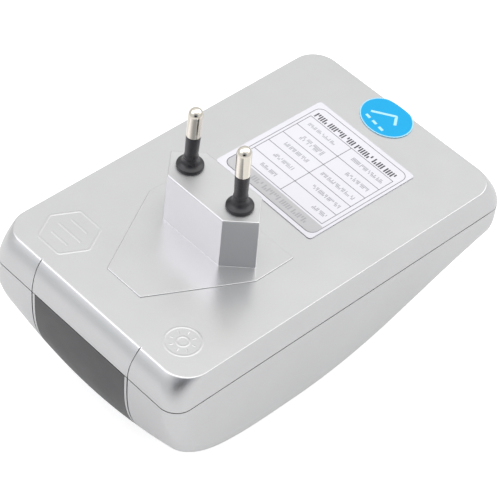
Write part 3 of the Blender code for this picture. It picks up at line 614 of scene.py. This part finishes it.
def front_skin(thickness, grooves=False):
    """Closed skin: outer and inner surface joined along the parting edge."""
    outer = [section(y, d, 0, groove_depth_at(y) if grooves else 0.0) for y, d in centre_line(0)]
    inner = [section(y, d, thickness, 0.0) for y, d in centre_line(thickness)]
    bm = bmesh.new()
    out = [[bm.verts.new(p) for p in row] for row in outer]
    inn = [[bm.verts.new(p) for p in row] for row in inner]
    for j in range(len(out) - 1):
        for k in range(len(out[0]) - 1):
            bm.faces.new((out[j][k], out[j + 1][k], out[j + 1][k + 1], out[j][k + 1]))
            bm.faces.new((inn[j][k], inn[j][k + 1], inn[j + 1][k + 1], inn[j + 1][k]))
        bm.faces.new((out[j][0], inn[j][0], inn[j + 1][0], out[j + 1][0]))
        bm.faces.new((out[j][-1], out[j + 1][-1], inn[j + 1][-1], inn[j][-1]))
    for k in range(len(out[0]) - 1):
        bm.faces.new((out[0][k], out[0][k + 1], inn[0][k + 1], inn[0][k]))
        bm.faces.new((out[-1][k], inn[-1][k], inn[-1][k + 1], out[-1][k + 1]))
    bmesh.ops.remove_doubles(bm, verts=bm.verts, dist=2e-6)
    bmesh.ops.dissolve_degenerate(bm, edges=bm.edges, dist=2e-6)
    bmesh.ops.triangulate(bm, faces=[face for face in bm.faces if len(face.verts) > 3])
    return bm


def front_case():
    """Rounded front half with the window's opening, the posts inside and their pilot holes."""
    case = finish_mesh("front_case", front_skin(WALL, grooves=True), SILVER, 30.0)
    edge = GROOVE_X + PANEL_GAP / 2
    far_out = 90 * MM
    combine(case, box((-edge, -far_out, -far_out), (edge, WINDOW_END_Y, 0)), "DIFFERENCE")
    board_under = 23.9 * MM
    for x, y in BOARD_SCREWS:
        floor = skin_depth(x * MM, y * MM) - 1.5 * MM
        combine(case, post(x, y, board_under, floor, 2.5 * MM), "UNION")
        combine(case, post(x, y, board_under - 1 * MM, board_under + 7 * MM, 1.3 * MM), "DIFFERENCE")
    for x, y in CASE_SCREWS:
        floor = skin_depth(x * MM, y * MM) - 1.5 * MM
        combine(case, post(x, y, 5.3 * MM, floor, 3 * MM), "UNION")
        combine(case, post(x, y, 4 * MM, 17 * MM, 1.5 * MM), "DIFFERENCE")
    shade(case, 30.0)
    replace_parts(case, "front_shell")


def skin_depth(x, y):
    """Depth of the front's outer surface away from its edges."""
    deep = BELLY_DEPTH * nose_curve((NOSE_CENTRE_Y - y) / NOSE_LENGTH) if y < NOSE_CENTRE_Y else belly_depth(y)
    return deep - x * x / (2 * CROWN_RADIUS)


def window_box(margin, top=FRONT_TOP):
    edge = GROOVE_X - PANEL_GAP / 2 - margin
    far_out = 90 * MM
    return box((-edge, -far_out, -far_out), (edge, WINDOW_END_Y - PANEL_GAP - margin, BACK_Z - top))


def window():
    """Dark lens in a thin bright frame, both following the front's curve."""
    surround = finish_mesh("window_surround", front_skin(LENS_THICKNESS), SILVER, 30.0)
    combine(surround, window_box(0.0), "INTERSECT")
    combine(surround, window_box(FRAME_WIDTH, FRONT_TOP - 5 * MM), "DIFFERENCE")
    shade(surround, 30.0)
    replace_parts(surround, "window_frame")
    pane = finish_mesh("window_pane", front_skin(LENS_THICKNESS), SMOKED, 30.0)
    combine(pane, window_box(FRAME_WIDTH + 0.12 * MM), "INTERSECT")
    shade(pane, 30.0)
    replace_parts(pane, "window_lens")


# --- plug ---------------------------------------------------------------------------------

def insert_corners():
    return [(INSERT_NOSE, INSERT_NEAR), (INSERT_HALF, INSERT_SHOULDER_Y), (INSERT_HALF, INSERT_FAR),
            (-INSERT_HALF, INSERT_FAR), (-INSERT_HALF, INSERT_SHOULDER_Y), (-INSERT_NOSE, INSERT_NEAR)]


def insert_outline(margin):
    """House-shaped outline of the plug insert, grown by margin, corners just broken."""
    return rounded(grown(insert_corners(), margin), 0.25 * MM)


def hexagon(flat, tip, half):
    return [(flat, -half), (tip, 0), (flat, half), (-flat, half), (-tip, 0), (-flat, -half)]


def boss_ring(share, margin, z):
    """Boss outline at a share of its height (0 foot, 1 top), grown by margin."""
    sizes = [base + (top - base) * share for base, top in zip(BOSS_BASE, BOSS_TOP)]
    outline = rounded(grown(hexagon(*sizes), margin), BOSS_CORNER + max(margin, 0))
    return [(x, y, z) for x, y in outline]


def plate_ring(margin, z):
    return [(x, y, z) for x, y in insert_outline(margin)]


def plug_body():
    """Insert plate and hexagonal boss in one moulding, with soft edges and a filleted foot."""
    plate = BACK_Z + INSERT_PROUD
    top = insert_high.z
    quarter = [math.radians(a) for a in (0, 22.5, 45, 67.5, 90)]
    rings = [plate_ring(INSERT_FLANGE, BACK_Z - FLANGE_BOTTOM), plate_ring(INSERT_FLANGE, BACK_Z - FLANGE_TOP),
             plate_ring(0.0, BACK_Z - FLANGE_TOP)]
    soft = 0.2 * MM
    for a in quarter:
        rings.append(plate_ring(-soft * (1 - math.cos(a)), plate - soft + soft * math.sin(a)))
    foot = 0.12 * MM
    for a in quarter:
        rings.append(boss_ring(0.0, foot * (1 - math.sin(a)), plate + foot * (1 - math.cos(a))))
    for share in (0.25, 0.5, 0.75):
        rings.append(boss_ring(share, 0.0, plate + (top - plate) * share))
    for a in quarter:
        rings.append(boss_ring(1.0, -BOSS_EDGE * (1 - math.cos(a)), top - BOSS_EDGE + BOSS_EDGE * math.sin(a)))
    body = finish_mesh("plug_body", ring_stack(list(reversed(rings))), SILVER, 35.0)
    for side in (-1, 1):
        bore = turned([(BORE_RADIUS, 5 * MM), (BORE_RADIUS, -BOSS_HEIGHT - 9 * MM)], 32)
        lean_and_place(bore, side)
        combine(body, bore, "DIFFERENCE")
    body.data.materials.append(SILVER_MATT)
    for face in body.data.polygons:
        if face.normal.z > 0.99 and face.center.z > top - 0.05 * MM:
            face.material_index = 1
    shade(body, 35.0)
    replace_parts(body, "plug_insert")


def lean_and_place(bm, side):
    """Stand a pin-shaped mesh on the engagement face, leaning towards the middle."""
    lean = Matrix.Rotation(-side * PIN_LEAN, 4, "Y")
    place = Matrix.Translation((side * PIN_SPACING / 2, 0, insert_high.z))
    bmesh.ops.transform(bm, matrix=place @ lean, verts=bm.verts)


def contact_pin(side, name, node):
    """Round pin with a domed tip, its core hidden in the sleeve and a tail inside the case."""
    angles = [math.radians(2 + 88 * i / 14) for i in range(15)]
    profile = [(PIN_RADIUS * math.sin(a), PIN_LENGTH - PIN_RADIUS * (1 - math.cos(a))) for a in angles]
    tail = -(BOSS_HEIGHT + FLANGE_BOTTOM + 0.3 * MM)
    profile += [(PIN_RADIUS, SLEEVE_LENGTH + 0.1 * MM), (PIN_RADIUS - 0.1 * MM, SLEEVE_LENGTH),
                (CORE_RADIUS, SLEEVE_LENGTH), (CORE_RADIUS, tail), (2.5 * MM, tail),
                (2.5 * MM, tail - 1.5 * MM), (1.0 * MM, tail - 1.5 * MM), (1.0 * MM, tail - 4 * MM)]
    bm = turned(profile, 64)
    lean_and_place(bm, side)
    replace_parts(finish_mesh(name, bm, NICKEL), node)


def sleeve(side, name, node):
    """Insulating sleeve: a dished collar, a ring above it and a shaft that swells to the pin."""
    bore = CORE_RADIUS + 0.1 * MM
    outer = [(1.96, 11.25), (1.98, 11.0), (1.93, 9.5), (1.88, 7.5), (1.83, 5.5), (1.82, 4.55), (1.90, 4.35),
             (1.98, 4.15), (1.98, 3.75), (1.92, 3.55), (1.93, 3.2), (1.98, 2.8), (2.1, 2.35), (2.3, 1.95),
             (2.6, 1.6), (3.0, 1.35), (3.35, 1.2), (3.55, 1.1), (3.67, 0.97), (3.72, 0.8), (3.73, 0.4),
             (3.7, 0.2), (3.6, 0.12)]
    profile = [(bore, 11.2 * MM)] + [(r * MM, z * MM) for r, z in outer] + [(bore, 0.12 * MM)]
    bm = turned(profile, 64, hollow=True)
    lean_and_place(bm, side)
    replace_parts(finish_mesh(name, bm, BLACK), node)


# --- raised marks -------------------------------------------------------------------------

def ridge(bm, path, width, height, closed=False):
    """Low half-round ridge on the back face along a flat path."""
    count = len(path)
    rows = []
    shape = [(-1.0, -0.3), (-0.72, 0.14), (-0.42, 0.66), (-0.18, 0.94), (0.0, 1.0),
             (0.18, 0.94), (0.42, 0.66), (0.72, 0.14), (1.0, -0.3)]
    for i in range(count):
        before = Vector(path[i - 1] if closed or i else path[0])
        after = Vector(path[(i + 1) % count] if closed or i < count - 1 else path[-1])
        along = (after - before).normalized()
        across = Vector((along.y, -along.x))
        here = Vector(path[i])
        row = []
        for side, rise in shape:
            spot = here + across * (side * width / 2)
            row.append(bm.verts.new((spot.x, spot.y, BACK_Z + height * rise)))
        rows.append(row)
    pairs = list(zip(rows, rows[1:]))
    if closed:
        pairs.append((rows[-1], rows[0]))
    sides = len(shape)
    for first, second in pairs:
        for k in range(sides):
            m = (k + 1) % sides
            bm.faces.new((first[k], first[m], second[m], second[k]))
    if not closed:
        bm.faces.new(rows[0])
        bm.faces.new(list(reversed(rows[-1])))


def moulded_marks():
    """Plain low-relief marks: a hexagon with three bars on the left, a mould dial on the right."""
    width, height = 1.0 * MM, 0.05 * MM
    bm = bmesh.new()
    cx, cy = -22.4 * MM, -29.2 * MM
    corners = [(cx + x * MM, cy + y * MM) for x, y in
               ((-4.2, -7.2), (4.2, -7.2), (8.0, 0.0), (4.2, 7.2), (-4.2, 7.2), (-8.0, 0.0))]
    ridge(bm, rounded(corners, 1.2 * MM, 5), width, height, closed=True)
    for y, half in ((3.4, 3.2), (0.0, 4.6), (-3.4, 3.2)):
        steps = [(cx + half * MM * (t / 4 - 1), cy + y * MM) for t in range(9)]
        ridge(bm, steps, width, height)
    dx, dy = 24.3 * MM, -31.4 * MM
    ridge(bm, arc(dx, dy, 4.8 * MM, 0, 360, 60)[:-1], width, height, closed=True)
    ridge(bm, arc(dx, dy, 1.6 * MM, 0, 360, 30)[:-1], width, height, closed=True)
    for i in range(8):
        a = math.tau * (i + 0.5) / 8
        ends = [(dx + r * MM * math.cos(a), dy + r * MM * math.sin(a)) for r in (2.6, 3.1, 3.6)]
        ridge(bm, ends, 0.45 * MM, height)
    finish_mesh("moulded_marks", bm, SILVER, 60.0, weighted=False)


# --- label --------------------------------------------------------------------------------

LABEL_PLACE = (Matrix.Translation(((label_low.x + label_high.x) / 2, (label_low.y + label_high.y) / 2, 0))
               @ Matrix.Rotation(LABEL_TURN, 4, "Z"))


def on_label(bm):
    bmesh.ops.transform(bm, matrix=LABEL_PLACE, verts=bm.verts)
    return bm


def join_prism(bm, outline, top, bottom):
    """Add a closed prism to bm."""
    upper = [bm.verts.new((x, y, top)) for x, y in outline]
    lower = [bm.verts.new((x, y, bottom)) for x, y in outline]
    bm.faces.new(upper)
    bm.faces.new(list(reversed(lower)))
    for i in range(len(outline)):
        j = (i + 1) % len(outline)
        bm.faces.new((upper[i], lower[i], lower[j], upper[j]))


def ink(name, outlines, material):
    """Thin printed shapes on the label."""
    bm = bmesh.new()
    for outline in outlines:
        join_prism(bm, outline, label_high.z + INK_HEIGHT, label_high.z - 0.05 * MM)
    finish_mesh(name, on_label(bm), material, weighted=False)


def bar(left, right, near, far):
    return [(left, near), (right, near), (right, far), (left, far)]


def frame_line(left, right, near, far, radius, width):
    """Closed ring of a printed line as overlapping strips: straight sides and corner arcs."""
    path = rounded_rectangle(left, right, near, far, radius, 6)
    strips = []
    count = len(path)
    inner = grown(path, -width / 2)
    outer = grown(path, width / 2)
    for i in range(count):
        j = (i + 1) % count
        if (Vector(path[i]) - Vector(path[j])).length < 1e-7:
            continue
        strips.append([inner[i], outer[i], outer[j], inner[j]])
    return strips


def words(left, right, near, far, seed, stroke, gap):
    """Stand-in for a line of print: groups of short strokes that spell nothing."""
    draw = random.Random(seed)
    middle = (near + far) / 2
    strokes = []
    u = left
    while u < right - stroke:
        for _ in range(draw.randint(4, 8)):
            if u > right - stroke:
                break
            low, high = draw.choice(((near, far), (near, far), (near, middle), (middle, far)))
            strokes.append(bar(u, u + stroke, low, high))
            u += gap
        u += gap * 0.7
    return strokes


TABLE = {"left": -16.1 * MM, "right": 16.6 * MM, "near": -13.2 * MM, "far": 13.4 * MM, "split": 0.3 * MM}
ROW_COUNT = 5
FINE = (0.2 * MM, 0.44 * MM)
BOLD = (0.46 * MM, 0.8 * MM)


def label_table():
    """Rules of the five-row table and the double outline round it."""
    t = TABLE
    rules = []
    for i in range(ROW_COUNT + 1):
        v = t["near"] + (t["far"] - t["near"]) * i / ROW_COUNT
        rules.append(bar(t["left"], t["right"], v - RULE_WIDTH / 2, v + RULE_WIDTH / 2))
    for u in (t["left"], t["split"], t["right"]):
        rules.append(bar(u - RULE_WIDTH / 2, u + RULE_WIDTH / 2, t["near"], t["far"]))
    rules += frame_line(-17.1 * MM, 17.9 * MM, -18.3 * MM, 18.2 * MM, 2.3 * MM, 0.2 * MM)
    return rules


def label_entries():
    """Print in the table's cells: a caption on the right and a value on the left of each row."""
    t = TABLE
    row_height = (t["far"] - t["near"]) / ROW_COUNT
    captions = (5.0, 10.7, 12.8, 8.7, 11.9)
    values = ((-10.2, 5.8, 1.4), (-10.8, 7.7, 1.4), (-12.2, 9.1, 1.4), (-11.4, 9.0, 2.0), (-14.0, 10.9, 1.2))
    strokes = []
    for i in range(ROW_COUNT):
        middle = t["near"] + row_height * (i + 0.5)
        right = 15.3 * MM
        strokes += words(right - captions[i] * MM, right, middle - 0.7 * MM, middle + 0.7 * MM, 20 + i, *FINE)
        start, width, tall = values[i]
        half = tall * MM / 2
        strokes += words(start * MM, (start + width) * MM, middle - half, middle + half, 40 + i, *FINE)
    return strokes


def label():
    """White foil with a double outline, a ruled table, a title line and a grey band."""
    outline = rounded_rectangle(-LABEL_HALF_U, LABEL_HALF_U, -LABEL_HALF_V, LABEL_HALF_V, LABEL_CORNER)
    foil = bmesh.new()
    join_prism(foil, outline, label_high.z, label_low.z)
    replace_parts(finish_mesh("label_foil", on_label(foil), FOIL), "rating_label")
    ink("label_rules", label_table(), INK)
    ink("label_entries", label_entries(), TEXT_INK)
    title = words(-15.6 * MM, 15.9 * MM, 14.0 * MM, 16.0 * MM, 7, *BOLD)
    ink("label_title", title, TITLE_INK)
    band = (arc(-17.1 * MM + 2.3 * MM, -18.3 * MM + 2.3 * MM, 2.3 * MM, 180, 270, 8)
            + arc(17.7 * MM - 2.3 * MM, -18.3 * MM + 2.3 * MM, 2.3 * MM, 270, 360, 8)
            + [(17.7 * MM, -13.9 * MM), (-17.1 * MM, -13.9 * MM)])
    ink("label_band", [band], BAR_INK)
    lines = words(-9.5 * MM, 13.6 * MM, -16.9 * MM, -15.1 * MM, 9, *BOLD)
    bm = bmesh.new()
    for shape in lines:
        join_prism(bm, shape, label_high.z + 2 * INK_HEIGHT, label_high.z)
    finish_mesh("label_band_entries", on_label(bm), BAR_TEXT, weighted=False)


# --- sticker ------------------------------------------------------------------------------

def sticker_point(x, y, lift):
    """Point on the foil: flat on the back, then bending down past the thin end's edge."""
    past = y - BACK_FAR - FOLD_START
    if past <= 0:
        return (x, y, BACK_Z + lift)
    angle = min(past / FOLD_RADIUS, math.pi / 3)
    rest = past - FOLD_RADIUS * angle
    radius = FOLD_RADIUS + lift
    out = radius * math.sin(angle) + rest * math.cos(angle)
    down = FOLD_RADIUS - radius * math.cos(angle) + rest * math.sin(angle)
    return (x, BACK_FAR + FOLD_START + out, BACK_Z - down)


def on_sticker(u, v):
    """Plan position of a point given in the sticker's own axes."""
    turn = (math.cos(STICKER_TURN), math.sin(STICKER_TURN))
    cx, cy = STICKER_CENTRE
    return cx + u * turn[0] - v * turn[1], cy + u * turn[1] + v * turn[0]


def sticker():
    """Oval foil bent over the thin end's edge, with a pale rim."""
    ring_count, steps = 22, 72
    blue_share = 1 - RIM_WIDTH / STICKER_HALF[0]
    shares = [blue_share * i / ring_count for i in range(1, ring_count + 1)] + [1.0]
    angles = [math.tau * k / steps for k in range(steps)]
    bm = bmesh.new()
    layers = []
    for lift in (STICKER_LIFT, STICKER_UNDER):
        hub = bm.verts.new(sticker_point(*STICKER_CENTRE, lift))
        rings = []
        for share in shares:
            half_u, half_v = (half * share for half in STICKER_HALF)
            ring = [on_sticker(half_u * math.cos(a), half_v * math.sin(a)) for a in angles]
            rings.append([bm.verts.new(sticker_point(x, y, lift)) for x, y in ring])
        layers.append((hub, rings))
    for hub, rings in layers:
        for k in range(steps):
            m = (k + 1) % steps
            bm.faces.new((hub, rings[0][k], rings[0][m]))
            for i in range(len(rings) - 1):
                face = bm.faces.new((rings[i][k], rings[i + 1][k], rings[i + 1][m], rings[i][m]))
                face.material_index = 1 if i == len(rings) - 2 else 0
    top, under = layers[0][1][-1], layers[1][1][-1]
    for k in range(steps):
        m = (k + 1) % steps
        bm.faces.new((top[k], top[m], under[m], under[k])).material_index = 1
    obj = finish_mesh("oval_sticker", bm, BLUE, 60.0, weighted=False)
    obj.data.materials.append(RIM)
    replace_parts(obj, "inspection_sticker")
    sticker_ink()


def sticker_ink():
    """Generic print on the sticker: a tick above a row of three dashes, read from the thin end."""
    half = 0.42 * MM
    tick = [(3.8, 0.1), (1.1, 2.7), (-4.3, -2.3)]
    dashes = [[(u - 0.9, -4.2), (u + 0.9, -4.2)] for u in (-3.0, 0.0, 3.0)]
    strokes = [tick] + dashes
    bm = bmesh.new()
    for stroke in strokes:
        points = []
        for first, second in zip(stroke, stroke[1:]):
            points += [(first[0] + (second[0] - first[0]) * t / 12, first[1] + (second[1] - first[1]) * t / 12)
                       for t in range(12)]
        points.append(stroke[-1])
        drape(bm, [on_sticker(u * MM, v * MM) for u, v in points], half)
    finish_mesh("sticker_print", bm, WHITE_INK, 60.0, weighted=False)


def drape(bm, path, half):
    """Thin printed stroke that follows the sticker's fold."""
    count = len(path)
    rows = []
    for i in range(count):
        before = Vector(path[max(i - 1, 0)])
        after = Vector(path[min(i + 1, count - 1)])
        along = (after - before).normalized()
        across = Vector((along.y, -along.x)) * half
        row = []
        for side, lift in ((-1, 0.03), (1, 0.03), (1, -0.05), (-1, -0.05)):
            spot = Vector(path[i]) + across * side
            row.append(bm.verts.new(sticker_point(spot.x, spot.y, STICKER_LIFT + lift * MM)))
        rows.append(row)
    for first, second in zip(rows, rows[1:]):
        for k in range(4):
            m = (k + 1) % 4
            bm.faces.new((first[k], first[m], second[m], second[k]))
    bm.faces.new(rows[0])
    bm.faces.new(list(reversed(rows[-1])))


# --- studio -------------------------------------------------------------------------------

CAMERA_AZIMUTH = math.radians(41.84)
CAMERA_ELEVATION = math.radians(45.86)
CAMERA_ROLL = math.radians(7.0)
CAMERA_DISTANCE = 0.556
CAMERA_LENS = 153.55
CAMERA_TARGET = Vector((0.01168, 0.00345, BACK_Z))


def camera():
    data = bpy.data.cameras.new("camera")
    data.lens = CAMERA_LENS
    data.clip_start = 0.01
    data.clip_end = 20.0
    obj = bpy.data.objects.new("camera", data)
    bpy.context.scene.collection.objects.link(obj)
    level = math.cos(CAMERA_ELEVATION)
    forward = Vector((-math.sin(CAMERA_AZIMUTH) * level, math.cos(CAMERA_AZIMUTH) * level,
                      -math.sin(CAMERA_ELEVATION)))
    facing = forward.to_track_quat("-Z", "Y").to_matrix().to_4x4()
    obj.matrix_world = (Matrix.Translation(CAMERA_TARGET - forward * CAMERA_DISTANCE)
                        @ facing @ Matrix.Rotation(CAMERA_ROLL, 4, "Z"))
    bpy.context.scene.camera = obj


def floor():
    size = 6.0
    bm = box((-size, -size, front_low.z - 0.01), (size, size, front_low.z - 0.02 * MM))
    mesh = bpy.data.meshes.new("floor")
    bm.to_mesh(mesh)
    bm.free()
    obj = bpy.data.objects.new("floor", mesh)
    bpy.context.scene.collection.objects.link(obj)
    paper = surface("floor_paper", (0.5, 0.5, 0.5), 0.9, grain=40.0, relief=0.0, shade_by=0.004, specular=0.0)
    glow = paper.node_tree.nodes["Principled BSDF"].inputs
    glow["Emission Color"].default_value = (1.0, 1.0, 1.0, 1.0)
    tree = paper.node_tree
    distance = tree.nodes.new("ShaderNodeVectorMath")
    distance.operation = "LENGTH"
    tree.links.new(tree.nodes["Texture Coordinate"].outputs["Object"], distance.inputs[0])
    fade = tree.nodes.new("ShaderNodeMapRange")
    fade.interpolation_type = "SMOOTHSTEP"
    fade.inputs["From Min"].default_value = 0.17
    fade.inputs["From Max"].default_value = 0.38
    fade.inputs["To Min"].default_value = 0.36
    fade.inputs["To Max"].default_value = 0.05
    tree.links.new(distance.outputs["Value"], fade.inputs["Value"])
    seen = tree.nodes.new("ShaderNodeMath")
    seen.operation = "MULTIPLY_ADD"
    seen.inputs[1].default_value = 0.42
    tree.links.new(tree.nodes.new("ShaderNodeLightPath").outputs["Is Camera Ray"], seen.inputs[0])
    tree.links.new(fade.outputs["Result"], seen.inputs[2])
    tree.links.new(seen.outputs["Value"], glow["Emission Strength"])
    mesh.materials.append(paper)


def world():
    """Soft white room: bright above, greyer at the horizon, and dark where the camera stands."""
    made = bpy.data.worlds.new("studio")
    bpy.context.scene.world = made
    made.use_nodes = True
    tree = made.node_tree
    background = tree.nodes["Background"]
    direction = tree.nodes.new("ShaderNodeTexCoord").outputs["Generated"]

    def blob(centre, inner, outer):
        """1 towards centre, 0 away from it, soft between the two angles."""
        dot = tree.nodes.new("ShaderNodeVectorMath")
        dot.operation = "DOT_PRODUCT"
        tree.links.new(direction, dot.inputs[0])
        dot.inputs[1].default_value = Vector(centre).normalized()
        fade = tree.nodes.new("ShaderNodeMapRange")
        fade.interpolation_type = "SMOOTHSTEP"
        fade.inputs["From Min"].default_value = math.cos(math.radians(outer))
        fade.inputs["From Max"].default_value = math.cos(math.radians(inner))
        tree.links.new(dot.outputs["Value"], fade.inputs["Value"])
        return fade.outputs["Result"]

    def mix(factor, first, second):
        node = tree.nodes.new("ShaderNodeMix")
        node.data_type = "RGBA"
        tree.links.new(factor, node.inputs[0])
        for socket, value in ((node.inputs[6], first), (node.inputs[7], second)):
            if isinstance(value, tuple):
                socket.default_value = (*value, 1.0)
            else:
                tree.links.new(value, socket)
        return node.outputs[2]

    walls = mix(blob((0, 0, 1), 50, 78), (0.76, 0.76, 0.76), (1.01, 1.01, 1.01))
    near_wall = mix(blob((-0.46, -0.88, 0.0), 8, 27), walls, (0.80, 0.84, 0.86))
    ceiling = mix(blob((0, 0.05, 1), 22, 36), near_wall, (1.93, 1.93, 1.93))
    left_box = mix(blob((-0.4645, -0.5187, 0.7177), 12, 31), ceiling, (2.45, 2.40, 2.55))
    right_box = mix(blob((0.25, 0.68, 0.69), 18, 32), left_box, (2.4, 2.4, 2.4))
    camera_side = mix(blob((0.66, -0.62, 0.35), 18, 42), right_box, (0.345, 0.37, 0.425))
    dark_corner = mix(blob((0.67, -0.71, 0.16), 9, 25), camera_side, (0.02, 0.015, 0.012))
    tree.links.new(dark_corner, background.inputs["Color"])


def studio():
    camera()
    floor()
    world()
    scene = bpy.context.scene
    scene.view_settings.view_transform = "Standard"
    scene.view_settings.look = "None"


def build():
    finish_inside()
    back_case()
    front_case()
    window()
    plug_body()
    for side, name in ((-1, "neutral"), (1, "live")):
        contact_pin(side, f"contact_pin_{name}", f"pin_{name}")
        sleeve(side, f"sleeve_{name}", f"pin_sleeve_{name}")
    moulded_marks()
    label()
    sticker()


build()
studio()
